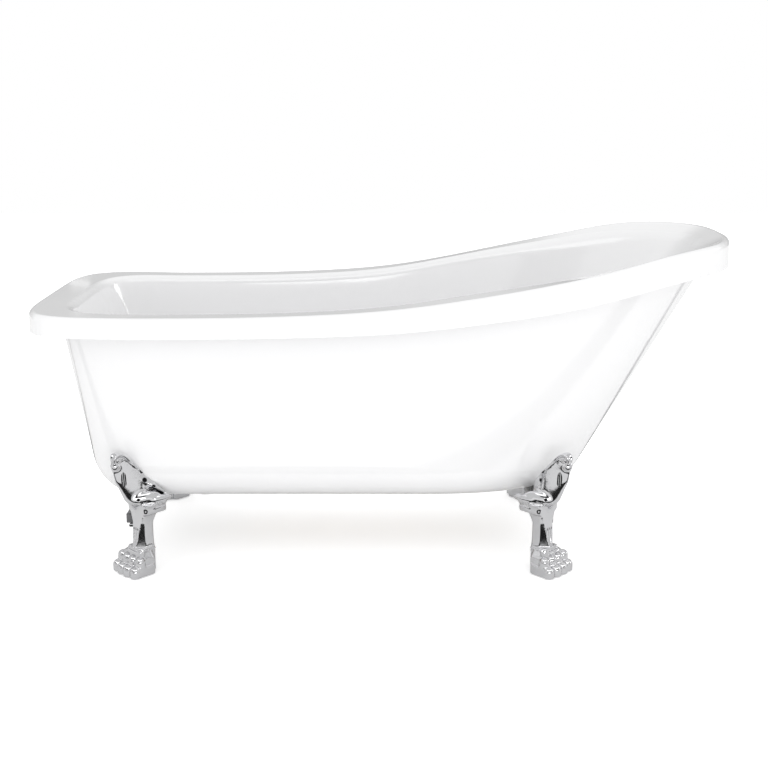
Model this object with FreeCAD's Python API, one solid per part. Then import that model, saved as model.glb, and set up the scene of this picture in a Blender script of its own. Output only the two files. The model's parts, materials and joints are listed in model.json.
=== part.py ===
"""Single-slipper clawfoot bathtub, built as separate pieces in millimetres.

Frame: +X towards the raised slipper end, -X towards the low tap-deck end,
+Z up, floor at Z = 0, origin under the middle of the tub on its symmetry plane.
"""
import FreeCAD
import Part
import math
import os

Vector = FreeCAD.Vector
UP = Vector(0, 0, 1)
OUT = Vector(-1, 0, 0)            # along the tub towards the deck end

# ---------------------------------------------------------------- driving sizes
# Rim, seen from above
rim_length = 1548.0
rim_half_width = 318.0            # at the tap-deck end
rim_half_width_gain = 79.0        # extra half width the outline tends to at the slipper end
rim_gain_inset = 518.0            # from the slipper end in to where half of that gain is reached
rim_gain_spread = 220.0
rim_deck_corner = 266.0           # length of the rounded outline at the deck end
rim_deck_squareness = 4.86
rim_slipper_corner = 860.0        # length of the long curve round the slipper end
rim_slipper_squareness = 2.84

# Rim, seen from the side: heights above the floor and how the rise is shared out
rim_height_deck = 590.0
rim_height_slipper = 739.0
rim_rise = ((0.0, 0.0), (0.21, -0.02), (0.403, 0.024), (0.532, 0.133),
            (0.661, 0.357), (0.79, 0.643), (0.90, 0.902), (1.0, 1.0))

# Rim section
deck_width = 85.0
side_rim_width = 72.0
slipper_rim_width = 55.0
rim_bank_deck = 1.0               # degrees the rim top falls inwards
rim_bank_slipper = 28.0
rim_inner_roll_side = 20.0        # radius where the rim rolls into the basin
rim_inner_roll_slipper = 55.0
rim_outer_roll = 11.0
apron_height_side = 43.5
apron_height_slipper = 66.0
apron_flare = 2.0                 # degrees
bank_inset = 624.0                # from the slipper end in to where the rim starts to bank
apron_deepens_inset = 474.0       # from the deck end in to where the apron starts to deepen

# Basin
shell_thickness = 6.0
basin_floor_height = 180.0
basin_deck_inset = 199.0          # from the rim's end in to where the basin wall would meet the floor
basin_slipper_inset = 414.0
basin_half_width = 205.0
basin_corner_radius = 110.0
basin_deck_corner = 180.0
basin_deck_squareness = 3.0
basin_slipper_corner = 430.0
basin_slipper_squareness = 2.4

# Outer skin
skin_thickness = 5.0
skin_bottom_height = 150.0
skin_deck_inset = 116.0           # from the rim's end in to where the skin would meet its flat bottom
skin_slipper_inset = 339.0
skin_half_width = 240.0
skin_corner_radius = 105.0
skin_deck_corner = 220.0
skin_deck_squareness = 3.6
skin_slipper_corner = 480.0
skin_slipper_squareness = 2.5
deck_overhang = 67.0              # from the rim's edge in to the skin's face
side_overhang = 36.0
slipper_overhang = 34.0
skin_flange_width = 20.0
bond_thickness = 3.0
bond_film = 0.15                  # between the bead and each surface that it holds
bond_inset = 2.0                  # how far the bead stays back from the flange's two edges
skin_slot_deck_inset = 78.0       # opening under the tub for the plumbing, from the flat bottom's ends
skin_slot_slipper_inset = 135.0
skin_slot_half_width = 65.0

# Board under the basin floor
board_deck_inset = 195.0          # from the basin's ends
board_slipper_inset = 40.0
board_half_width = 122.0
board_corner = 40.0

# Cross members
deck_member_shift = -21.5         # from the legs' axes to the middle of the cross member
slipper_member_shift = 7.0
member_width = 40.0
member_depth = 22.0
member_wall = 2.0
member_end_inset = 28.0           # from the legs' axes in to the end of the cross member
member_gap = 1.0                  # between a cross member and the casting round its end
packer_width = 30.0
packer_outer_inset = 75.0         # from the legs' axes in to the packer
packer_length = 90.0
packer_thickness = 28.0

# Claw feet
foot_deck_inset = 236.5           # from the rim's end in to the upright axis of the leg
foot_slipper_inset = 418.0
foot_turn = 45.0                  # degrees each foot is turned out towards its end
paw_width = 88.0
paw_back = 3.0
paw_front = 63.0
paw_corner = 12.0
heel_back = 16.0
heel_half_width = 25.0
toe_count = 4
toe_pitch = 22.0
toe_radius = 12.5
toe_top = 27.0
knuckle_radius = 12.0
knuckle_top = 46.0
instep_top = 54.0
instep_inset = 3.0                # from the paw's side in to the instep's side
instep_round = 6.5                # how far the instep slopes in towards the leg, half of it
paw_step = 3.0                    # small step between the paw's layers
heel_corner = 8.0
knuckle_setback = 13.5
toe_arc_radius = 160.0
leg_half_width = 21.0
leg_half_depth = 16.0
leg_corner = 7.0
flute_radius = 3.2
flute_pitch = 10.0
flute_lean = 13.0                 # how far ahead of the leg's waist the flutes start
flute_top_drop = 28.0             # from the skin's bottom down to the top of the flutes
shield_gap = 0.4                  # between the casting and the skin it hugs
shield_thickness = 12.0
crest_rise = 134.0                # from the skin's bottom up to the top of the crest
crest_radius = 10.0
crest_width = 14.0
crest_reach = 54.0                # from the leg's axis out to the middle of the crest
wing_tip_reach = 35.0
wing_back = 46.0                  # how far behind the leg's axis the wings wrap round
hug_margin = 46.0                 # how far above the crest the hugged shape of the skin goes on
lug_thickness = 8.0
lug_width = 36.0
lug_inset = 6.0                   # from the cross member's outer side in to the lug
lug_front_inset = 14.0            # from the leg's axis in to the lug
lug_length = 61.0

# Fixings
bolt_radius = 5.0
bolt_clearance = 0.5
bolt_head_across = 17.0
bolt_head_height = 6.4
washer_radius = 10.0
washer_thickness = 2.0
nut_height = 8.0
bolt_end = 2.0                    # how far a bolt stands out past its nut
thread_gap = 0.05
slip_gap = 0.05                   # between glued or pushed-together plastic fittings
bolt_inset = 50.0                 # from the leg's axis in to the bolt

# Levelling feet under the paws
leveller_pad_radius = 17.0
leveller_pad_height = 8.0
leveller_proud = 1.5
leveller_stem_radius = 5.0
leveller_stem_length = 24.0
leveller_running_gap = 0.05
leveller_recess_gap = 1.0
leveller_rest_gap = 0.3

# Waste
waste_inset = 145.0               # from the basin's deck end to the middle of the waste
waste_hole_radius = 26.0
waste_flange_radius = 35.0
waste_flange_thickness = 3.0
waste_gasket_thickness = 1.5
waste_gasket_radius = 34.0
waste_barrel_radius = 24.0
waste_barrel_bore = 20.0
waste_barrel_drop = 40.0          # from the basin floor down to the end of the barrel
waste_hub_radius = 9.0
waste_hub_bore = 7.0
waste_hub_height = 12.0
waste_hub_depth = 6.0             # from the underside of the flange down to the hub
waste_rib_thickness = 3.0
waste_rib_count = 3
waste_bore_gap = 0.2              # between the barrel and the gaskets round it
lower_gasket_thickness = 3.0
backnut_radius = 33.0
backnut_height = 12.0
tee_outer_radius = 28.0
tee_drop = 25.0                   # from the basin floor down to the top of the tee
tee_socket_depth = 32.0           # from the top of the tee down to its shoulder
tail_radius = 19.05
tail_wall = 2.0
tail_length = 25.0
tee_branch_drop = 16.0            # from the top of the tee down to the middle of its branch
tee_branch_radius = 13.0
tee_branch_reach = 48.0
tee_wall = 3.0

# Plug
plug_radius = 29.0
plug_edge = 2.0
plug_stem_radius = 4.0
plug_stem_length = 34.0
plug_running_gap = 0.05
plug_rest_gap = 0.3
plug_dome = 5.0
seal_land = 1.0                   # how far the neck comes down past the seal
guide_length = 22.0
guide_collar = 1.0
seal_inner_radius = 17.5
seal_thickness = 2.0

# Overflow
overflow_drop = 120.0             # from the deck rim down to the middle of the overflow
overflow_plate_radius = 35.0
overflow_plate_thickness = 4.0
overflow_hole_radius = 20.0
overflow_gasket_thickness = 2.0
overflow_wall_gap = 0.25          # flat gaskets touch the slightly curved wall only in places
overflow_body_radius = 29.0
overflow_body_depth = 18.0
overflow_body_wall = 3.0
overflow_slot_width = 32.0
overflow_slot_height = 7.0
overflow_slot_drop = 12.5         # from the middle of the cover plate down to the middle of its slot
overflow_screw_radius = 3.0
overflow_screw_bite = 6.0         # length of the screw inside the body's boss
overflow_screw_gap = 0.2
screw_running_gap = 0.02
screw_head_radius = 5.5
screw_head_height = 2.5
pipe_radius = 10.0
pipe_wall = 2.0
pipe_bend_radius = 60.0
pipe_drop = 2.0                   # from the overflow body's edge down to the top of the pipe
pipe_spigot_length = 16.0
pipe_insertion = 14.0             # how far the pipe goes into the tee's branch
pipe_wall_drop = 140.0            # from the overflow down to where the pipe turns for the skin's corner
pipe_straight = 22.0              # straight run of pipe before the branch
pipe_slot_entry = 20.0            # from the end of the skin's slot to where the pipe passes through it
pipe_corner_share = 0.8           # how far up the round corners the pipe turns, from 0 to 1
pipe_slot_height = 8.0            # height of the pipe above the skin's bottom face there

# ---------------------------------------------------------------- places worked out from the sizes
half_length = rim_length / 2.0
rim_gain_middle = half_length - rim_gain_inset
bank_starts_x = half_length - bank_inset
apron_deepens_x = apron_deepens_inset - half_length
basin_deck_x = basin_deck_inset - half_length
basin_slipper_x = half_length - basin_slipper_inset
skin_deck_x = skin_deck_inset - half_length
skin_slipper_x = half_length - skin_slipper_inset
skin_slot_deck_x = skin_deck_x + skin_slot_deck_inset
skin_slot_slipper_x = skin_slipper_x - skin_slot_slipper_inset
board_deck_x = basin_deck_x + board_deck_inset
board_slipper_x = basin_slipper_x - board_slipper_inset
foot_deck_x = foot_deck_inset - half_length
foot_slipper_x = half_length - foot_slipper_inset
foot_y = skin_half_width          # each leg stands right under the skin's side
deck_member_x = foot_deck_x + deck_member_shift
slipper_member_x = foot_slipper_x + slipper_member_shift
member_half_length = foot_y - member_end_inset
packer_outer_y = foot_y - packer_outer_inset
packer_inner_y = packer_outer_y - packer_length
lug_front_y = foot_y - lug_front_inset
lug_back_y = lug_front_y - lug_length
bolt_y = foot_y - bolt_inset
waste_x = basin_deck_x + waste_inset
waste_barrel_bottom = basin_floor_height - waste_barrel_drop
tee_top = basin_floor_height - tee_drop
tee_shoulder = tee_top - tee_socket_depth
tail_bottom = tee_shoulder - tail_length
tee_branch_z = tee_top - tee_branch_drop
overflow_height = rim_height_deck - overflow_drop
pipe_wall_height = overflow_height - pipe_wall_drop
crest_height = skin_bottom_height + crest_rise
hug_top = crest_height + hug_margin

# ---------------------------------------------------------------- helpers
past = 1.0                        # how far a cutting tool runs past the material it goes through


def save(name, shape):
    """Write one piece as its own file."""
    if shape.ShapeType == "Compound" and len(shape.Solids) == 1:
        shape = shape.Solids[0]
    shape.exportStep(os.path.join("parts", name + ".step"))
    print(name, "solids", len(shape.Solids), "volume", round(shape.Volume), "valid", shape.isValid())


def blend(low, high, share):
    """Value between low and high, with a smooth start and finish."""
    share = min(1.0, max(0.0, share))
    return low + (high - low) * share * share * (3.0 - 2.0 * share)


def curve_through(stations, place):
    """Smooth value at a place from (place, value) stations."""
    last = len(stations) - 2
    index = 0
    while index < last and place > stations[index + 1][0]:
        index += 1
    left = stations[index]
    right = stations[index + 1]
    before = stations[max(index - 1, 0)]
    after = stations[min(index + 2, len(stations) - 1)]
    span = right[0] - left[0]
    slope_left = (right[1] - before[1]) / (right[0] - before[0])
    slope_right = (after[1] - left[1]) / (after[0] - left[0])
    if index == 0:
        slope_left = 0.0
    t = (place - left[0]) / span
    keep_left = (1.0 + 2.0 * t) * (1.0 - t) ** 2
    keep_right = t * t * (3.0 - 2.0 * t)
    lean_left = t * (1.0 - t) ** 2 * span
    lean_right = t * t * (t - 1.0) * span
    return (keep_left * left[1] + keep_right * right[1]
            + lean_left * slope_left + lean_right * slope_right)


def cylinder(radius, bottom, top, x=0.0, y=0.0):
    """Upright round bar."""
    return Part.makeCylinder(radius, top - bottom, Vector(x, y, bottom), UP)


def tube(outer, inner, bottom, top, x=0.0, y=0.0):
    """Upright round tube."""
    return cylinder(outer, bottom, top, x, y).cut(cylinder(inner, bottom, top, x, y))


def box(low, high):
    """Box from its low corner to its high corner."""
    return Part.makeBox(high[0] - low[0], high[1] - low[1], high[2] - low[2], Vector(*low))


def hexagon(across, bottom, top, x, y):
    """Upright hexagonal bar, by its size across the flats."""
    corner = across / math.sqrt(3.0)
    points = []
    for side in range(7):
        angle = math.radians(60.0 * side)
        points.append(Vector(x + corner * math.cos(angle), y + corner * math.sin(angle), bottom))
    return Part.Face(Part.makePolygon(points)).extrude(Vector(0, 0, top - bottom))


# ---------------------------------------------------------------- plan outlines
# Each ring round the tub is sampled at the same stations, starting at the slipper tip.
tip_steps = 10
side_steps = 3
deck_steps = 8


def half_stations():
    """Stations from the slipper tip round one side to the middle of the deck end."""
    found = []
    for step in range(tip_steps):
        found.append(("slipper", 90.0 * step / tip_steps))
    for step in range(side_steps):
        found.append(("side", step / side_steps))
    for step in range(deck_steps + 1):
        found.append(("deck", 90.0 - 90.0 * step / deck_steps))
    return found


def all_stations():
    """Stations right round the tub, each with the side of the tub it is on."""
    half = half_stations()
    near = [(zone, value, -1.0) for zone, value in half]
    far = [(zone, value, 1.0) for zone, value in reversed(half[1:-1])]
    return near + far


STATIONS = all_stations()


class Outline:
    """A tub outline seen from above: two rounded ends joined by straight sides."""

    def __init__(self, deck_x, slipper_x, deck_corner, slipper_corner, deck_squareness,
                 slipper_squareness, half_width, gain=0.0):
        self.deck_x = deck_x
        self.slipper_x = slipper_x
        self.deck_corner = deck_corner
        self.slipper_corner = slipper_corner
        self.deck_squareness = deck_squareness
        self.slipper_squareness = slipper_squareness
        self.half_width = half_width
        self.gain = gain

    def width_at(self, x):
        """Half width before the ends are rounded off."""
        return self.half_width + self.gain * 0.5 * (1.0 + math.tanh((x - rim_gain_middle) / rim_gain_spread))

    def point(self, station):
        """Plan position of one station."""
        zone, value, side = station
        if zone == "side":
            start = self.slipper_x - self.slipper_corner
            finish = self.deck_x + self.deck_corner
            x = start + (finish - start) * value
            return Vector(x, side * self.width_at(x), 0)
        power = self.slipper_squareness if zone == "slipper" else self.deck_squareness
        along = math.cos(math.radians(value))
        across = math.sin(math.radians(value))
        reach = (along ** power + across ** power) ** (-1.0 / power)
        if zone == "slipper":
            x = self.slipper_x - self.slipper_corner * (1.0 - reach * along)
        else:
            x = self.deck_x + self.deck_corner * (1.0 - reach * along)
        return Vector(x, side * reach * across * self.width_at(x), 0)

    def tangent(self, station):
        """Unit direction along the outline at one station."""
        zone, value, side = station
        limit = 1.0 if zone == "side" else 90.0
        nudge = 0.01 * limit
        before = self.point((zone, max(value - nudge, 0.0), side))
        after = self.point((zone, min(value + nudge, limit), side))
        if zone != "side" and value < nudge:
            return Vector(0, 1, 0)
        return (after - before).normalize()

    def outwards(self, station):
        """Unit direction square to the outline, pointing away from the tub."""
        along = self.tangent(station)
        square = Vector(along.y, -along.x, 0)
        if square.dot(self.point(station)) < 0.0:
            square = square * -1.0
        return square


rim_outline = Outline(-half_length, half_length, rim_deck_corner, rim_slipper_corner,
                      rim_deck_squareness, rim_slipper_squareness, rim_half_width, rim_half_width_gain)
mouth_outline = Outline(-half_length + deck_width, half_length - slipper_rim_width,
                        rim_deck_corner - side_rim_width, rim_slipper_corner - slipper_rim_width,
                        rim_deck_squareness, rim_slipper_squareness,
                        rim_half_width - side_rim_width, rim_half_width_gain)
basin_outline = Outline(basin_deck_x, basin_slipper_x, basin_deck_corner, basin_slipper_corner,
                        basin_deck_squareness, basin_slipper_squareness, basin_half_width)
skin_outline = Outline(skin_deck_x, skin_slipper_x, skin_deck_corner, skin_slipper_corner,
                       skin_deck_squareness, skin_slipper_squareness, skin_half_width)


class Foot:
    """Where a wall would meet a level floor with no corner, at one station."""

    def __init__(self, outline, station, height):
        self.place = outline.point(station) + UP * height
        self.tangent = outline.tangent(station)
        self.outwards = outline.outwards(station)

    def lean_to(self, top):
        """Angle from level of the wall that rises from here to a point on the rim."""
        climb = top - self.place
        climb = climb - self.tangent * climb.dot(self.tangent)
        return math.atan2(climb.z, climb.dot(self.outwards))

    def corner_point(self, top, radius, offset, share):
        """Point on the round corner between floor and wall, from floor (0) to wall (1)."""
        lean = self.lean_to(top)
        centre = self.place - self.outwards * (radius * math.tan(lean / 2.0)) + UP * radius
        angle = lean * share
        reach = radius + offset
        return centre + self.outwards * (reach * math.sin(angle)) - UP * (reach * math.cos(angle))

    def wall_point(self, top, offset, height):
        """Point at a height on the wall, moved out by an offset square to it."""
        lean = self.lean_to(top)
        share = (height + offset * math.cos(lean) - self.place.z) / (top.z - self.place.z)
        on_wall = self.place + (top - self.place) * share
        return on_wall + self.outwards * (offset * math.sin(lean)) - UP * (offset * math.cos(lean))


class Section:
    """The tub's section at one station: rim line, basin wall and skin wall."""

    def __init__(self, station):
        self.edge = rim_outline.point(station)
        inwards = mouth_outline.point(station) - self.edge
        self.rim_width = inwards.Length
        self.inwards = inwards.normalize()
        share = (self.edge.x + half_length) / rim_length
        rise = curve_through(rim_rise, share)
        self.rim_height = rim_height_deck + (rim_height_slipper - rim_height_deck) * rise
        along = (self.edge.x - bank_starts_x) / (half_length - bank_starts_x)
        self.bank = math.radians(blend(rim_bank_deck, rim_bank_slipper, along))
        self.inner_roll = blend(rim_inner_roll_side, rim_inner_roll_slipper, along)
        deepening = (self.edge.x - apron_deepens_x) / (half_length - apron_deepens_x)
        self.apron_height = blend(apron_height_side, apron_height_slipper, deepening)
        deck_share = blend(0.0, 1.0, (rim_deck_corner - half_length - self.edge.x) / rim_deck_corner)
        overhang = side_overhang + (deck_overhang - side_overhang) * deck_share
        self.overhang = overhang + (slipper_overhang - side_overhang) * blend(0.0, 1.0, along)
        self.mouth = self.rim_point(self.rim_width, 0.0)
        self.mouth_tangent = mouth_outline.tangent(station)
        self.mouth_outwards = mouth_outline.outwards(station)
        self.basin_foot = Foot(basin_outline, station, basin_floor_height)
        self.skin_foot = Foot(skin_outline, station, skin_bottom_height)
        self.skin_head = self.rim_point(self.overhang, 0.0)

    def rim_point(self, inset, below):
        """Point on the rim line, inset from the edge and below it square to the banked top."""
        z = self.rim_height - inset * math.tan(self.bank) - below / math.cos(self.bank)
        return self.edge + self.inwards * inset + UP * z

    def basin_corner(self, offset, share):
        """Point on the basin's floor corner."""
        return self.basin_foot.corner_point(self.mouth, basin_corner_radius, offset, share)

    def skin_corner(self, offset, share):
        """Point on the skin's bottom corner."""
        return self.skin_foot.corner_point(self.skin_head, skin_corner_radius, offset, share)

    def inner_roll_point(self, offset, share):
        """Point on the roll from the basin wall (share 0) to the rim top (share 1)."""
        fall = self.mouth - self.basin_foot.place
        fall = fall - self.mouth_tangent * fall.dot(self.mouth_tangent)
        lean = math.atan2(fall.z, fall.dot(self.mouth_outwards))
        turn = lean - self.bank
        setback = self.inner_roll * math.tan(turn / 2.0)
        along_top = self.mouth_outwards * math.cos(self.bank) + UP * math.sin(self.bank)
        below_top = self.mouth_outwards * math.sin(self.bank) - UP * math.cos(self.bank)
        centre = self.mouth + along_top * setback + below_top * self.inner_roll
        angle = self.bank + turn * (1.0 - share)
        reach = self.inner_roll - offset
        return centre - self.mouth_outwards * (reach * math.sin(angle)) + UP * (reach * math.cos(angle))

    def outer_roll_point(self, offset, share):
        """Point on the roll from the rim top (share 0) to the apron (share 1)."""
        centre = self.rim_point(rim_outer_roll, rim_outer_roll)
        turn = math.pi / 2.0 - math.radians(apron_flare) + self.bank
        angle = self.bank - turn * share
        reach = rim_outer_roll - offset
        return centre + self.inwards * (reach * math.sin(angle)) + UP * (reach * math.cos(angle))

    def apron_point(self, offset):
        """Point on the apron's lower edge."""
        start = self.outer_roll_point(offset, 1.0)
        drop = start.z - self.rim_height + self.apron_height
        return start - self.inwards * (drop * math.tan(math.radians(apron_flare))) - UP * drop


SECTIONS = [Section(station) for station in STATIONS]
KNOTS = [float(index) for index in range(len(SECTIONS) + 1)]


def ring(point_of):
    """Closed smooth wire round the tub through one point per section."""
    curve = Part.BSplineCurve()
    curve.interpolate(Points=[point_of(section) for section in SECTIONS], PeriodicFlag=True, Parameters=KNOTS)
    return Part.Wire([curve.toShape()])


def skin_between(rings, straight):
    """Surface through rings, straight from one to the next or smooth."""
    return Part.makeLoft(rings, False, straight).Faces


def close_up(faces):
    """One solid from faces that share their edges."""
    shell = Part.makeShell(faces)
    shell.sewShape()
    if shell.ShapeType != "Shell":
        shell = shell.Shells[0]
    solid = Part.Solid(shell)
    if solid.Volume < 0:
        solid.reverse()
    return solid


def cap(closed_ring):
    """Flat face inside a level ring."""
    return Part.Face(closed_ring)


CORNER_SHARES = (0.0, 0.25, 0.5, 0.75, 1.0)
ROLL_SHARES = (0.0, 0.33, 0.67, 1.0)


def basin_side(offset):
    """Rings from the basin floor up the wall, over the rim and down the apron."""
    corner = [ring(lambda s, share=share: s.basin_corner(offset, share)) for share in CORNER_SHARES]
    inner = [ring(lambda s, share=share: s.inner_roll_point(offset, share)) for share in ROLL_SHARES]
    outer = [ring(lambda s, share=share: s.outer_roll_point(offset, share)) for share in ROLL_SHARES]
    apron = ring(lambda s: s.apron_point(offset))
    return corner, inner, outer, apron


def basin_faces(offset):
    """Faces of one side of the basin shell, with its first and last ring."""
    corner, inner, outer, apron = basin_side(offset)
    faces = [cap(corner[0])]
    faces += skin_between(corner, False)
    faces += skin_between([corner[-1], inner[0]], True)
    faces += skin_between(inner, False)
    faces += skin_between([inner[-1], outer[0]], True)
    faces += skin_between(outer, False)
    faces += skin_between([outer[-1], apron], True)
    return faces, apron


# ---------------------------------------------------------------- tub shells


def make_inner_shell():
    """Basin, rim and turned-down apron in one moulded sheet, with waste and overflow holes."""
    seen, seen_edge = basin_faces(0.0)
    hidden, hidden_edge = basin_faces(shell_thickness)
    solid = close_up(seen + hidden + skin_between([seen_edge, hidden_edge], True))
    waste_hole = cylinder(waste_hole_radius, basin_floor_height - shell_thickness - past,
                          basin_floor_height + past, waste_x)
    overflow_hole = overflow_bar(overflow_hole_radius, -shell_thickness - 10.0 * past, 10.0 * past)
    return solid.cut(waste_hole).cut(overflow_hole)


def make_outer_skin():
    """Outer skin: bottom, round corner, wall and the flange bonded under the rim."""
    below_rim = shell_thickness + bond_thickness

    def side(offset, below):
        corner = [ring(lambda s, share=share: s.skin_corner(offset, share)) for share in CORNER_SHARES]
        top = ring(lambda s: s.rim_point(s.overhang - offset, below))
        flange = ring(lambda s: s.rim_point(s.overhang - skin_flange_width, below))
        faces = [cap(corner[0])]
        faces += skin_between(corner, False)
        faces += skin_between([corner[-1], top], True)
        faces += skin_between([top, flange], True)
        return faces, flange

    outer, outer_edge = side(0.0, below_rim + skin_thickness)
    inner, inner_edge = side(-skin_thickness, below_rim)
    solid = close_up(outer + inner + skin_between([outer_edge, inner_edge], True))
    slot = box((skin_slot_deck_x, -skin_slot_half_width, skin_bottom_height - past),
               (skin_slot_slipper_x, skin_slot_half_width, skin_bottom_height + skin_thickness + 8.0 * past))
    return solid.cut(slot)


def make_rim_bond():
    """Bead of adhesive between the skin's flange and the underside of the rim."""
    outer = skin_flange_width - bond_inset
    inner = bond_inset
    top = shell_thickness + bond_film
    bottom = shell_thickness + bond_thickness - bond_film
    rings = []
    for inset, below in ((outer, top), (outer, bottom), (inner, bottom), (inner, top)):
        rings.append(ring(lambda s, inset=inset, below=below: s.rim_point(s.overhang - inset, below)))
    rings.append(rings[0])
    faces = []
    for first, second in zip(rings[:-1], rings[1:]):
        faces += skin_between([first, second], True)
    return close_up(faces)


def belly(offset, top_height):
    """Solid inside the skin's outer face, grown by an offset, cut level at a height."""
    corner = [ring(lambda s, share=share: s.skin_corner(offset, share)) for share in CORNER_SHARES]
    top = ring(lambda s: s.skin_foot.wall_point(s.skin_head, offset, top_height))
    faces = [cap(corner[0]), cap(top)]
    faces += skin_between(corner, False)
    faces += skin_between([corner[-1], top], True)
    return close_up(faces)


def make_base_board():
    """Board bonded between the basin floor and the skin."""
    board = box((board_deck_x, -board_half_width, skin_bottom_height + skin_thickness),
                (board_slipper_x, board_half_width, basin_floor_height - shell_thickness))
    upright = [edge for edge in board.Edges if abs(edge.tangentAt(edge.FirstParameter).z) > 0.9]
    return board.makeFillet(board_corner, upright)


# ---------------------------------------------------------------- under-frame
member_top = skin_bottom_height - packer_thickness
member_bottom = member_top - member_depth


def make_member(x):
    """Rectangular tube across the tub, carrying it on one pair of feet."""
    low = (x - member_width / 2.0, -member_half_length, member_bottom)
    high = (x + member_width / 2.0, member_half_length, member_top)
    outer = box(low, high)
    along = [edge for edge in outer.Edges if abs(edge.tangentAt(edge.FirstParameter).y) > 0.9]
    outer = outer.makeFillet(member_wall * 1.5, along)
    bore = box((low[0] + member_wall, -member_half_length - past, low[2] + member_wall),
               (high[0] - member_wall, member_half_length + past, high[2] - member_wall))
    shape = outer.cut(bore)
    for side in (-1.0, 1.0):
        shape = shape.cut(cylinder(bolt_radius + bolt_clearance, member_bottom - past,
                                   member_bottom + member_wall + past, x, side * bolt_y))
    return shape


def make_packer(x, side):
    """Packing block between a cross member and the skin."""
    ends = sorted((side * packer_inner_y, side * packer_outer_y))
    return box((x - packer_width / 2.0, ends[0], member_top),
               (x + packer_width / 2.0, ends[1], skin_bottom_height))


# ---------------------------------------------------------------- claw feet
# Built facing +P (away from the tub) with +Q to one side, then turned and moved into place.


def rounded_rectangle(front, back, half_width, corner, z):
    """Level closed wire with rounded corners, front to back along P."""
    face = Part.Face(Part.makePolygon([Vector(front, -half_width, z), Vector(front, half_width, z),
                                       Vector(back, half_width, z), Vector(back, -half_width, z),
                                       Vector(front, -half_width, z)]))
    solid = face.extrude(UP)
    upright = [edge for edge in solid.Edges if abs(edge.tangentAt(edge.FirstParameter).z) > 0.9]
    solid = solid.makeFillet(corner, upright)
    for candidate in solid.Faces:
        if abs(candidate.CenterOfMass.z - z) < 0.001:
            return candidate.OuterWire
    raise ValueError("no level face")


def toe_row(setback, radius, bottom, top):
    """A row of round-topped toes along the front of the paw."""
    row = []
    for toe in range(toe_count):
        q = (toe - (toe_count - 1) / 2.0) * toe_pitch
        p = paw_front - setback - toe_arc_radius + math.sqrt(toe_arc_radius ** 2 - q ** 2)
        shoulder = top - radius
        slant = radius * math.sqrt(0.5)
        dome = Part.Arc(Vector(radius, 0, shoulder), Vector(slant, 0, shoulder + slant), Vector(0, 0, top))
        profile = Part.Wire([Part.makeLine(Vector(0, 0, top), Vector(0, 0, bottom)),
                             Part.makeLine(Vector(0, 0, bottom), Vector(radius, 0, bottom)),
                             Part.makeLine(Vector(radius, 0, bottom), Vector(radius, 0, shoulder)),
                             dome.toShape()])
        solid = Part.Face(profile).revolve(Vector(0, 0, 0), UP, 360.0)
        solid.translate(Vector(p, q, 0))
        row.append(solid)
    return row


# Leg: height, then how much further it reaches than its waist ahead, behind and sideways
LEG_STATIONS = ((instep_top - 8.0, 15.0, 0.0, 5.0), (instep_top + 12.0, 9.0, 0.0, 1.0),
                (instep_top + 30.0, 5.0, 0.0, 0.0), (instep_top + 46.0, 2.0, 0.0, 0.0),
                (skin_bottom_height - 38.0, 0.0, 0.0, 0.0), (skin_bottom_height - 28.0, 0.0, 3.0, 2.0),
                (skin_bottom_height - 16.0, 0.0, 8.0, 5.0), (skin_bottom_height - 12.0, 0.0, 27.0, 14.0),
                (skin_bottom_height + 4.0, 0.0, 27.0, 14.0), (skin_bottom_height + 10.0, 2.0, 27.0, 20.0))
# Ridge up the shield: rise above the skin's bottom, front, back and half width
RIDGE_STATIONS = ((-4.0, 22.0, -26.0, 10.0), (6.0, 30.0, -26.0, 14.0), (22.0, 43.0, -26.0, 19.0),
                  (47.0, 54.0, -26.0, 17.0), (69.0, 65.0, -26.0, 14.0), (93.0, 70.0, -20.0, 10.0),
                  (107.0, 73.0, 16.0, 8.0), (123.0, 64.0, 30.0, 6.0))
# Half of the shield's leaf outline: half width and rise above the skin's bottom
WING_OUTLINE = ((0.0, 100.0), (5.0, 97.0), (9.0, 88.0), (13.0, 71.0), (18.0, 56.0), (25.0, 49.0),
                (wing_tip_reach, 21.0), (wing_tip_reach - 1.0, 14.0), (wing_tip_reach - 8.0, 4.0),
                (wing_tip_reach - 7.0, -1.0), (wing_tip_reach - 7.0, -12.0), (22.0, -13.0), (18.0, -30.0),
                (0.0, -30.0))


def level_block(front, back, half_width, corner, bottom, top):
    """Upright block with rounded corners, seen from above."""
    outline = rounded_rectangle(front, back, half_width, corner, bottom)
    return Part.Face(outline).extrude(Vector(0, 0, top - bottom))


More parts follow.
